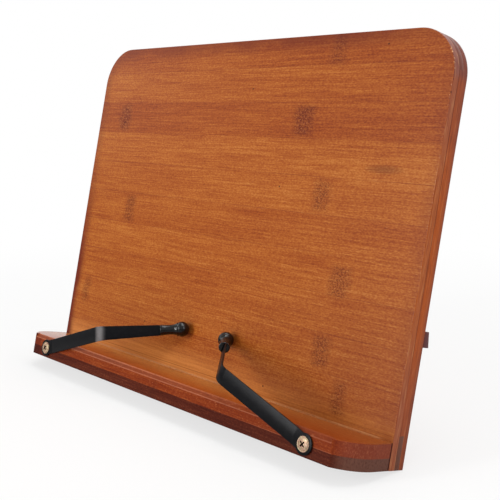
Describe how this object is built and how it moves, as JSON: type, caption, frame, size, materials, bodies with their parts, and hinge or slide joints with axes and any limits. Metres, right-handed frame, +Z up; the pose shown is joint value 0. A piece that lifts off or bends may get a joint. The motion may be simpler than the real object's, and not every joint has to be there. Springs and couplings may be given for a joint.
{
  "type": "book stand",
  "caption": "Reclined bamboo reading stand with a page ledge, swivelling sprung page clips and a hinged rear leg held by a folding wire bracket.",
  "frame": {"origin": "centre of the footprint's bounding rectangle, on the table", "axes": "+X to the right seen from the reader's side, +Y away from the reader, +Z up; the board's front faces -Y and leans back"},
  "size_m": [0.34, 0.1334, 0.2443],
  "materials": {
    "panel_bamboo": "satin lacquer over amber stain",
    "frame_bamboo": "satin lacquer over red-brown stain",
    "ledge_upper_bamboo": "satin lacquer over red-brown stain",
    "ledge_lower_bamboo": "satin lacquer over dark stain",
    "leg_bamboo": "satin lacquer over red-brown stain",
    "strap_steel": "black satin paint",
    "tip_rubber": "soft gloss",
    "wire_steel": "black satin paint",
    "hinge_brass": "brass plated",
    "screw_zinc": "yellow passivated zinc"
  },
  "bodies": {
    "board": {"panel_plank_1": "panel_bamboo", "panel_plank_2": "panel_bamboo", "panel_plank_3": "panel_bamboo", "panel_plank_4": "panel_bamboo", "panel_plank_5": "panel_bamboo", "panel_plank_6": "panel_bamboo", "left_stile": "frame_bamboo", "right_stile": "frame_bamboo", "top_rail": "frame_bamboo", "bottom_rail": "frame_bamboo", "hinge_rail": "frame_bamboo", "ledge_lower_layer": "ledge_lower_bamboo", "ledge_upper_layer": "ledge_upper_bamboo", "rear_batten": "frame_bamboo", "batten_screws": "screw_zinc", "ledge_screws": "screw_zinc", "board_leaf_screws": "screw_zinc", "left_board_leaf": "hinge_brass", "left_hinge_pin": "hinge_brass", "left_screw_eye": "wire_steel", "left_clip_screw": "screw_zinc", "right_board_leaf": "hinge_brass", "right_hinge_pin": "hinge_brass", "right_screw_eye": "wire_steel", "right_clip_screw": "screw_zinc"},
    "leg": {"left_leg_bar": "leg_bamboo", "right_leg_bar": "leg_bamboo", "leg_hinge_bar": "leg_bamboo", "leg_foot_bar": "leg_bamboo", "leg_leaf_screws": "screw_zinc", "left_leg_leaf": "hinge_brass", "right_leg_leaf": "hinge_brass"},
    "wire_bracket": {"support_wire": "wire_steel"},
    "left_clip": {"left_clip_strap": "strap_steel", "left_clip_tip": "tip_rubber"},
    "right_clip": {"right_clip_strap": "strap_steel", "right_clip_tip": "tip_rubber"}
  },
  "joints": [
    {"name": "leg_fold", "type": "hinge", "parent": "board", "child": "leg", "pos_m": [0, 0.02644, 0.17701], "axis": [-1, 0, 0], "range_deg": [0, 22]},
    {"name": "wire_fold", "type": "hinge", "parent": "board", "child": "wire_bracket", "pos_m": [0, 0.00802, 0.06994], "axis": [1, 0, 0], "range_deg": [0, 81.17]},
    {"name": "left_clip_swivel", "type": "hinge", "parent": "board", "child": "left_clip", "pos_m": [-0.1378, -0.06153, 0.01771], "axis": [0, -0.9759, 0.2181], "range_deg": [-6.5, 155]},
    {"name": "right_clip_swivel", "type": "hinge", "parent": "board", "child": "right_clip", "pos_m": [0.1378, -0.06153, 0.01771], "axis": [0, 0.9759, -0.2181], "range_deg": [-6.5, 155]}
  ],
  "couplings": [
    {"joint": "wire_fold", "follows": "leg_fold", "ratio": 3.6887}
  ]
}
